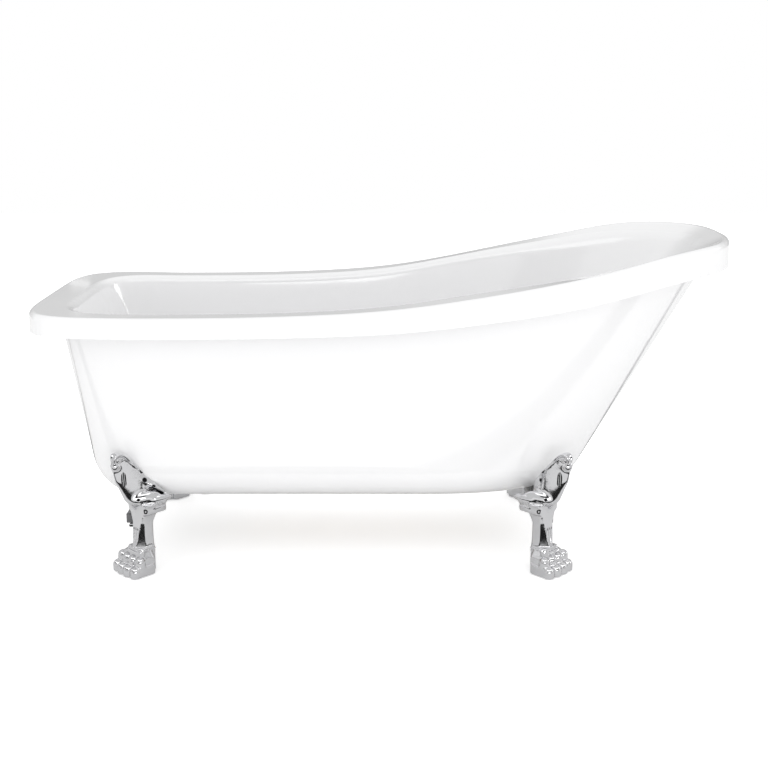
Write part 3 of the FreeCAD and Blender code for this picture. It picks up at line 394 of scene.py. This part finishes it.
def on_front(casting, across, height):
    """How far ahead the front of a casting lies at a place across and a height."""
    start = Vector((RAY_START * MM, across * MM, height * MM))
    return casting.ray_cast(start, Vector((-1.0, 0.0, 0.0)))[1].x / MM


def on_flank(casting, ahead, height):
    """How far across the side of a casting lies at a place ahead and a height."""
    start = Vector((ahead * MM, RAY_START * MM, height * MM))
    return casting.ray_cast(start, Vector((0.0, -1.0, 0.0)))[1].y / MM


# %% [markdown]
# ### Ornament
# The leaf has a curled crest with a rolled rim, a bud under it, and folds that run from the ridge to the
# edge along the tub. Under it a fluted ankle meets the paw with a bead. Each toe carries a nail, and the
# gaps between the toes are shallow.


# %% Leaf of the shield
def crest_forms(side):
    """Rolled rim of the crest and the folds of the leaf on one side."""
    made = [roll([(66.0, side * 4.0, 262.0), (70.0, side * 6.5, 274.0), (58.0, side * 8.0, 283.0),
                  (42.0, side * 8.5, 275.0), (27.0, side * 9.5, 257.0), (14.0, side * 10.0, 246.0)],
                 (2.0, 3.2, 3.8, 3.4, 3.0, 1.5))]
    made.append(lump((2.0, side * 20.0, 172.0), (36.0, 11.0, 17.0), side * -18.4))
    made.append(lump((-14.0, side * 28.0, 168.0), (34.0, 9.0, 11.0), side * -20.0))
    made.append(lump((-12.0, side * 29.0, 148.0), (30.0, 8.0, 10.0), side * -8.0))
    made.append(lump((-42.0, side * 33.0, 168.0), (13.0, 6.0, 8.0), side * -30.0))
    return made


def leaf_forms():
    """Everything that is added to the shield."""
    made = crest_forms(1.0) + crest_forms(-1.0)
    made.append(lump((58.0, 0.0, 270.0), (10.0, 9.0, 11.0)))
    made.append(lump((63.0, 0.0, 255.0), (10.5, 10.5, 12.0)))
    return made


# %% [markdown]
# ### Paw
# Four toes stand side by side on a shallow arc. The CAD casting has their round tops in two rows, so only
# small nails, the metal between the toes and a bead round the ankle are added here.

# %% Paw
TOES = (-33.0, -11.0, 11.0, 33.0)
TOE_ARC = 160.0
PAW_FRONT = 63.0
BEAD_HEIGHT = 54.5
BEAD_HALF = 1.7


def toe_front(across):
    """How far ahead the toes reach at a place across the paw."""
    return PAW_FRONT - TOE_ARC + math.sqrt(TOE_ARC ** 2 - across ** 2)


def paw_forms():
    """Small nails on the toes, filled gaps between them and a bead round the ankle."""
    made = []
    for across in TOES:
        ahead = toe_front(across)
        made.append(lump((ahead - 4.5, across, 21.5), (5.0, 3.4, 4.4)))
    for across in (-22.0, 0.0, 22.0):
        ahead = toe_front(across) - 9.0
        made.append(roll([(ahead, across, height) for height in (2.0, 10.0, 19.0)], (4.5, 4.5, 4.5)))
    ring = [(30.0, -15.0), (30.0, 15.0), (24.0, 25.0), (0.0, 26.5), (-14.0, 26.0)]
    for side in (-1.0, 1.0):
        made.append(roll([(ahead, side * across, BEAD_HEIGHT) for ahead, across in ring],
                         (BEAD_HALF,) * len(ring)))
    return made


print("toes reach ahead by", [round(toe_front(across), 1) for across in TOES], "mm")

# %% [markdown]
# ### Gouges
# Hollows are cut with the same forms. They all go into one tool, because a cut is slow and its time hardly
# grows with the number of hollows in it. An eye is given by its place ahead, across and up, and its radius.

# %% Gouges
FLUTES = (-7.0, 0.0, 7.0)
FLUTE_HEIGHTS = (60.0, 72.0, 88.0, 104.0)
FLUTE_BOTTOM = 57.5
FLUTE_TOP = 118.0
RIDGE_LINES = (45.0, 49.0, 53.0)
RIDGE_HEIGHTS = (209.0, 217.0, 224.0, 231.0, 239.0)
EYES = ((3.0, 12.0, 234.5, 4.4), (0.0, 19.5, 214.0, 5.6), (-16.0, 28.0, 197.5, 4.2),
        (22.0, 21.0, 173.8, 2.8), (20.0, 20.5, 152.0, 2.2))


def gouges(casting):
    """Flutes up the ankle, drilled eyes at the leaf's edge and the lines on the ridge."""
    cuts = []
    for across in FLUTES:
        front = [on_front(casting, across, height) for height in FLUTE_HEIGHTS]
        middle = [(reach + 1.5, across, height) for reach, height in zip(front[1:], FLUTE_HEIGHTS[1:])]
        cuts.append(roll([(front[0] + 3.0, across, FLUTE_BOTTOM)] + middle
                         + [(front[-1] + 3.5, across, FLUTE_TOP)], (2.6, 3.6, 3.6, 3.2, 2.0)))
    for side in (-1.0, 1.0):
        for ahead, across, height, size in EYES:
            cuts.append(lump((ahead, side * across, height), (size * 1.3, size, size), side * -20.0))
        for ahead in RIDGE_LINES:
            line = [(height, on_flank(casting, ahead, height)) for height in RIDGE_HEIGHTS]
            cuts.append(roll([(ahead, side * across, height) for height, across in line],
                             (0.5, 1.2, 1.4, 1.2, 0.5)))
        cuts.append(roll([(14.0, side * 27.0, 158.0), (4.0, side * 31.0, 159.0), (-12.0, side * 36.5, 158.5),
                          (-34.0, side * 43.0, 158.0)], (0.8, 1.8, 2.2, 1.5)))
    return joined(cuts)


print("drilled eyes on each side:", len(EYES))


# %% [markdown]
# ### Belly of the tub
# The foot hugs the belly, so the belly is what cuts it to shape at the back. The underside of the outer skin
# is closed into one solid form and made slightly larger, which leaves a thin gap between foot and tub.

# %% Belly of the tub, to cut the feet to
BELLY_TOP = 0.40
BELLY_GAP = 0.0003


def belly_form(end):
    """Closed form of the tub's underside, in the frame of one foot."""
    source = nodes["outer_skin"]
    belly = source.copy()
    belly.data = source.data.copy()
    bpy.context.collection.objects.link(belly)
    belly.parent = None
    belly.matrix_world = source.matrix_world.copy()
    settle(belly)
    bpy.ops.object.mode_set(mode="EDIT")
    bpy.ops.mesh.select_all(action="SELECT")
    bpy.ops.mesh.remove_doubles(threshold=0.00001)
    bpy.ops.mesh.bisect(plane_co=(0.0, 0.0, BELLY_TOP), plane_no=(0.0, 0.0, 1.0), clear_outer=True)
    bpy.ops.mesh.select_all(action="SELECT")
    bpy.ops.mesh.convex_hull()
    bpy.ops.mesh.select_all(action="SELECT")
    bpy.ops.mesh.normals_make_consistent(inside=False)
    bpy.ops.transform.shrink_fatten(value=BELLY_GAP)
    bpy.ops.object.mode_set(mode="OBJECT")
    belly.matrix_world = foot_frame(end).inverted()
    return settle(belly)


# %% [markdown]
# ### Polished plate
# Chrome has next to no colour of its own: it shows the room. Small holes in a casting look nearly black, so
# painted shade is put round each drilled eye, and painted dark reflections go in stripes on an oval round the
# ridge lines. The finish reads each point's place in the foot's own frame, which is stored on the mesh, so
# that the painted shade and reflections sit at the same places on all four feet.


# %% Chrome on the castings
OVAL_AHEAD, OVAL_HEIGHT = 49.0, 224.0
OVAL_HALF_AHEAD, OVAL_HALF_HEIGHT = 6.5, 17.0
STRIPE_TURNS = 1.57


def chrome():
    """Bright plate on a casting: slight waviness, a greyer bloom in places, painted shade round the drilled
    eyes and painted dark reflections in stripes on an oval.
    """
    g = Graph("foot_chrome")
    place = g.node("ShaderNodeAttribute", {"attribute_name": "foot_place"}, output="Vector")
    ahead, across, height = [g.node("ShaderNodeSeparateXYZ", None, {"Vector": place}, output=axis)
                             for axis in "XYZ"]
    across = g.node("ShaderNodeMath", {"operation": "ABSOLUTE"}, {0: across})
    folded = g.node("ShaderNodeCombineXYZ", None, {"X": ahead, "Y": across, "Z": height})
    # painted shade: the plate turns near black round each drilled eye, where shade falls in the hole
    painted_shade_and_reflection = 0.0
    for eye_ahead, eye_across, eye_height, size in EYES:
        away = g.node("ShaderNodeVectorMath", {"operation": "DISTANCE"},
                      {0: folded, 1: (eye_ahead, eye_across, eye_height)}, "Value")
        painted_shade_and_reflection = g.fade(away, size * 1.5, size * 1.15) + painted_shade_and_reflection
    # painted dark reflections: dark stripes on an oval round the ridge lines
    oval = (((ahead - OVAL_AHEAD) / OVAL_HALF_AHEAD) ** 2.0
            + ((height - OVAL_HEIGHT) / OVAL_HALF_HEIGHT) ** 2.0)
    stripes = g.node("ShaderNodeMath", {"operation": "COSINE"}, {0: (ahead - OVAL_AHEAD) * STRIPE_TURNS})
    painted_shade_and_reflection = painted_shade_and_reflection + g.fade(oval, 1.15, 0.85) * g.fade(across, 3.0, 5.0) * g.fade(stripes, -0.9, -0.3)
    painted_shade_and_reflection = g.node("ShaderNodeMath", {"operation": "MINIMUM"}, {0: painted_shade_and_reflection, 1: 1.0})
    cast = g.noise(60.0, 3.0)
    bloom = g.noise(14.0, 4.0, 0.6)
    plate = g.mix(bloom, (0.60, 0.60, 0.615), (0.72, 0.72, 0.73))
    # the plate is blended to near black where the painted shade and painted reflections lie
    return g.finish(base=g.mix(painted_shade_and_reflection, plate, (0.012, 0.012, 0.013)), metal=1.0,
                    rough=0.05 + bloom * 0.08 + painted_shade_and_reflection * 0.2, normal=g.bump(cast, 0.0008, 0.3))


chrome_look = chrome()


# %% [markdown]
# ### One foot
# The clay is remeshed into one skin and smoothed where hands would polish it, at the leg and at the leaf.
# Then a flat is taken off the leg's corners, the belly and the hollows are cut, the web behind the crest is
# trimmed, and a second, finer remesh closes the casting.

# %% Cuts in the casting
CREST_EDGE = (-15.0, 0.0, 213.0)
CREST_NORMAL = (-0.763, 0.0, 0.646)
CORNER_PLACE = 26.2
CORNER_HEIGHT = 88.0
CORNER_BLOCK = (30.0, 34.0, 58.0)


def trim_behind_crest(casting):
    """Cut the web off along a slope behind the crest, so that the crest stands free of the tub."""
    select_only(casting)
    bpy.ops.object.mode_set(mode="EDIT")
    bpy.ops.mesh.select_all(action="SELECT")
    bpy.ops.mesh.bisect(plane_co=[MM * value for value in CREST_EDGE], plane_no=CREST_NORMAL, use_fill=True,
                        clear_outer=True)
    bpy.ops.object.mode_set(mode="OBJECT")


def leg_corners():
    """Two upright blocks, turned by an eighth, that take a flat off the leg's front corners."""
    blocks = []
    for side in (-1.0, 1.0):
        bpy.ops.object.select_all(action="DESELECT")
        middle = (CORNER_PLACE, side * CORNER_PLACE, CORNER_HEIGHT)
        bpy.ops.mesh.primitive_cube_add(size=1.0, location=[MM * value for value in middle],
                                        rotation=(0.0, 0.0, side * math.radians(45.0)),
                                        scale=[MM * value for value in CORNER_BLOCK])
        blocks.append(settle(bpy.context.object))
    return joined(blocks)


def soften(casting, low, high, passes):
    """Round the front of a casting further between two heights, as hand polishing does."""
    group = casting.vertex_groups.new(name="polished")
    for vertex in casting.data.vertices:
        height = vertex.co.z / MM
        share = min(height - low, high - height) / POLISH_EDGE
        if share > 0.0 and vertex.co.x / MM > POLISH_BACK:
            group.add([vertex.index], min(share, 1.0), "REPLACE")
    apply_modifier(casting, "SMOOTH", factor=0.5, iterations=passes, vertex_group="polished")
    casting.vertex_groups.clear()


def cut_away(casting, tool):
    """Take one form out of a casting."""
    apply_modifier(casting, "BOOLEAN", operation="DIFFERENCE", solver="EXACT", object=tool)
    bpy.data.objects.remove(tool)


# %% Make the feet
POLISH_EDGE = 8.0
POLISH_BACK = -12.0
LEG_SPAN = (60.0, 122.0)
LEAF_SPAN = (128.0, 262.0)
CLAY_VOXEL = 0.0012
FINE_VOXEL = 0.0011


def make_foot(end):
    """Melt the clay and the plain casting together, gouge it and put it in its place."""
    casting = plain_casting(end)
    tool = gouges(casting)
    casting = joined([casting] + leaf_forms() + paw_forms())
    apply_modifier(casting, "REMESH", mode="VOXEL", voxel_size=CLAY_VOXEL)
    soften(casting, *LEG_SPAN, passes=30)
    cut_away(casting, leg_corners())
    soften(casting, *LEAF_SPAN, passes=60)
    cut_away(casting, belly_form(end))
    cut_away(casting, tool)
    trim_behind_crest(casting)
    apply_modifier(casting, "REMESH", mode="VOXEL", voxel_size=FINE_VOXEL)
    apply_modifier(casting, "SMOOTH", factor=0.5, iterations=3)
    place = casting.data.attributes.new("foot_place", "FLOAT_VECTOR", "POINT")
    place.data.foreach_set("vector", [value / MM for vertex in casting.data.vertices
                                      for value in vertex.co])
    casting.matrix_world = foot_frame(end)
    settle(casting)
    bpy.ops.object.shade_smooth()
    casting.data.materials.clear()
    casting.data.materials.append(chrome_look)
    print(casting.name, "triangles", len(casting.data.polygons) * 2)
    return casting


def far_copy(near):
    """The mirror image of a near foot, on the far side of the tub."""
    far = near.copy()
    far.data = near.data.copy()
    far.name = near.name.replace("_near", "_far")
    bpy.context.collection.objects.link(far)
    far.scale = (1.0, -1.0, 1.0)
    settle(far)
    bpy.ops.object.mode_set(mode="EDIT")
    bpy.ops.mesh.select_all(action="SELECT")
    bpy.ops.mesh.normals_make_consistent(inside=False)
    bpy.ops.object.mode_set(mode="OBJECT")
    return far


for end in ("deck", "slipper"):
    near_foot = make_foot(end)
    for foot in (near_foot, far_copy(near_foot)):
        side = foot.name.rsplit("_", 1)[1]
        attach(foot, "tub")
        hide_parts("claw_foot_" + end + "_" + side)

# %% [markdown]
# ## End caps of the cross members
# The steel tubes end beside the legs, where a plain moulded cap closes each of them. A block is added at the
# size of the tube, its outer face is inset and pushed out a little, and a bevel rounds the edges.

# %% End caps
MEMBER_X = {"deck": -0.559, "slipper": 0.363}
MEMBER_END = 0.212
MEMBER_HEIGHT = (0.100, 0.122)
MEMBER_WIDTH = 0.040
CAP_THICKNESS = 0.004
CAP_MIDDLE = 0.0021


def end_cap(end, side):
    """Moulded cap on one end of a cross member; side is -1 on the near side."""
    bpy.ops.object.select_all(action="DESELECT")
    middle = (MEMBER_X[end], side * (MEMBER_END + CAP_MIDDLE), sum(MEMBER_HEIGHT) / 2.0)
    size = (MEMBER_WIDTH, CAP_THICKNESS, MEMBER_HEIGHT[1] - MEMBER_HEIGHT[0])
    bpy.ops.mesh.primitive_cube_add(size=1.0, location=middle, scale=size)
    cap = settle(bpy.context.object)
    cap.name = "member_cap_" + end + ("_near" if side < 0.0 else "_far")
    bpy.ops.object.mode_set(mode="EDIT")
    bpy.ops.mesh.select_mode(type="FACE")
    bpy.ops.mesh.select_all(action="DESELECT")
    bpy.ops.object.mode_set(mode="OBJECT")
    for face in cap.data.polygons:
        face.select = face.normal.y * side > 0.9
    bpy.ops.object.mode_set(mode="EDIT")
    bpy.ops.mesh.inset(thickness=0.0035, depth=0.0022)
    bpy.ops.object.mode_set(mode="OBJECT")
    apply_modifier(cap, "BEVEL", width=0.0012, segments=3, limit_method="ANGLE",
                   angle_limit=math.radians(25.0))
    bpy.ops.object.shade_smooth_by_angle(angle=math.radians(40.0))
    cap.data.materials.append(cap_plastic)
    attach(cap, "tub")
    return cap


def moulded_plastic():
    """Satin grey moulded plastic with a fine grain."""
    g = Graph("cap_plastic")
    grain = g.noise(900.0, 3.0)
    tone = g.noise(60.0, 3.0)
    return g.finish(base=g.mix(tone, (0.11, 0.11, 0.115), (0.15, 0.15, 0.155)), rough=0.42 + grain * 0.15,
                    normal=g.bump(grain, 0.00008, 0.5))


cap_plastic = moulded_plastic()
caps = [end_cap(end, side) for end in ("deck", "slipper") for side in (-1.0, 1.0)]
print("end caps:", [cap.name for cap in caps])

# %% [markdown]
# ## Studio
# The photograph is a bright product picture, white all round. Polished metal shows what stands around it, so
# its black patches need something dark to reflect: a strip of floor on each side of the tub and a band of
# the room on the camera's side. Only glossy surfaces see them, so the white surfaces stay evenly lit.


# %% Floor and backdrop
DARK_FROM = 0.40
DARK_TO = 0.66
FLOOR_GLOW = 0.45


def backdrop_paint():
    """Pale studio paper: white to the camera, with a dark strip on each side that polished metal reflects."""
    g = Graph("studio_paper")
    tone = g.noise(1.2, 2.0)
    pale = g.mix(tone, (0.88, 0.88, 0.88), (0.90, 0.90, 0.90))
    paper = g.node("ShaderNodeBsdfDiffuse", None, {"Color": pale})
    camera_ray = g.node("ShaderNodeLightPath", output="Is Camera Ray")
    gloss_ray = g.node("ShaderNodeLightPath", output="Is Glossy Ray")
    glow = g.node("ShaderNodeEmission", None,
                  {"Color": (1.0, 1.0, 1.0, 1.0), "Strength": camera_ray * FLOOR_GLOW})
    lit = g.node("ShaderNodeAddShader", None, {0: paper, 1: glow})
    across = g.node("ShaderNodeSeparateXYZ", None, {"Vector": g.place()}, output="Y")
    away = g.node("ShaderNodeMath", {"operation": "ABSOLUTE"}, {0: across})
    dim = g.node("ShaderNodeEmission", None, {"Color": (0.02, 0.02, 0.02, 1.0), "Strength": 1.0})
    band = g.fade(away, DARK_FROM, DARK_FROM + 0.05) * g.fade(away, DARK_TO, DARK_TO - 0.08)
    both = g.node("ShaderNodeMixShader", None, {0: gloss_ray * band, 1: lit, 2: dim})
    g.node("ShaderNodeOutputMaterial", None, {"Surface": both})
    return g.material


bpy.ops.object.select_all(action="DESELECT")
bpy.ops.mesh.primitive_plane_add(size=14.0, location=(0.0, 0.0, -0.0002))
floor = bpy.context.object
floor.name = "studio_floor"
floor.data.materials.append(backdrop_paint())
print("dark strips of floor from", DARK_FROM, "to", DARK_TO, "m off the middle")

# %% [markdown]
# ### Room
# A direction's parts along X, Y and Z say where in the room a reflected ray ends, so each lamp is a small
# range of directions. The camera sees plain white, and diffuse surfaces get an even light.

# %% Room light
ROOM_LEVEL = 1.04
ROOM_GREY = 0.78
ROOM_LAMPS = (((-0.60, -0.75, 0.64), (0.60, -0.10, 0.84), 1.5),
              ((0.82, 0.10, 0.19), (0.97, 0.50, 0.275), 4.5),
              ((-0.243, 0.90, 0.164), (-0.228, 1.00, 0.168), 1.6))
LAMP_EDGE = 0.002


class WorldGraph(Graph):
    """The node tree of the world, written in the same way as a material."""

    def __init__(self, name):
        self.world = bpy.data.worlds.new(name)
        self.world.use_nodes = True
        self.tree = self.world.node_tree
        self.tree.nodes.clear()


def window(g, direction, low, high):
    """Mask of a rectangular lamp in the room, given by the lowest and highest direction that it covers."""
    inside = 1.0
    for part, first, last in zip(direction, low, high):
        inside = (g.fade(part, first - LAMP_EDGE, first + LAMP_EDGE)
                  * g.fade(part, last + LAMP_EDGE, last - LAMP_EDGE) * inside)
    return inside


def room():
    """Even pale light; glossy surfaces see a ceiling lamp, two windows and a dark band instead."""
    g = WorldGraph("studio_room")
    place = g.node("ShaderNodeTexCoord", output="Generated")
    direction = [g.node("ShaderNodeSeparateXYZ", None, {"Vector": place}, output=axis) for axis in "XYZ"]
    side, ahead, up = direction
    camera_ray = g.node("ShaderNodeLightPath", output="Is Camera Ray")
    gloss_ray = g.node("ShaderNodeLightPath", output="Is Glossy Ray")
    sideways = g.node("ShaderNodeMath", {"operation": "ABSOLUTE"}, {0: side})
    dark = g.fade(ahead, -0.40, -0.52) * g.fade(sideways, 0.62, 0.50)
    dark = dark * g.fade(up, 0.24, 0.30) * g.fade(up, 0.58, 0.52)
    grey = g.fade(ahead, 0.30, 0.60) * g.fade(up, 0.50, 0.30)
    reflected = ROOM_GREY * (1.0 - dark * 0.97) * (1.0 - grey * 0.50)
    for low, high, brightness in ROOM_LAMPS:
        reflected = reflected + window(g, direction, low, high) * brightness
    strength = ROOM_LEVEL * (1.0 - gloss_ray) + reflected * gloss_ray
    strength = strength * (1.0 - camera_ray) + camera_ray
    background = g.node("ShaderNodeBackground", None, {"Color": (1.0, 1.0, 1.0, 1.0), "Strength": strength})
    g.node("ShaderNodeOutputWorld", None, {"Surface": background})
    return g.world


bpy.context.scene.world = room()
print("lamps in the room:", len(ROOM_LAMPS))


# %% [markdown]
# ### Lamp and camera
# One wide soft lamp low in front lifts the lower belly. The camera stands where the fit of the rim, apron
# and feet to the photograph puts it.

# %% Lamp and camera
def softbox(name, place, target, width, height, power):
    """Rectangular lamp that faces a point."""
    lamp = bpy.data.lights.new(name, "AREA")
    lamp.shape = "RECTANGLE"
    lamp.size = width
    lamp.size_y = height
    lamp.energy = power
    thing = bpy.data.objects.new(name, lamp)
    bpy.context.collection.objects.link(thing)
    thing.location = place
    thing.rotation_euler = (Vector(target) - Vector(place)).to_track_quat("-Z", "Y").to_euler()
    return thing


softbox("low_front_box", place=(0.5, -3.6, 0.45), target=(0.0, 0.0, 0.35), width=2.6, height=0.8, power=24.0)

CAMERA_PITCH = 0.248
lens = bpy.data.cameras.new("camera")
lens.lens = 57.1
lens.sensor_width = 36.0
camera = bpy.data.objects.new("camera", lens)
bpy.context.collection.objects.link(camera)
camera.location = (0.0015, -2.803, 1.078)
camera.rotation_euler = (math.pi / 2.0 - CAMERA_PITCH, 0.0, 0.0)
scene = bpy.context.scene
scene.camera = camera
scene.view_settings.view_transform = "Standard"
print("camera at", tuple(round(value, 3) for value in camera.location), "lens", lens.lens, "mm")
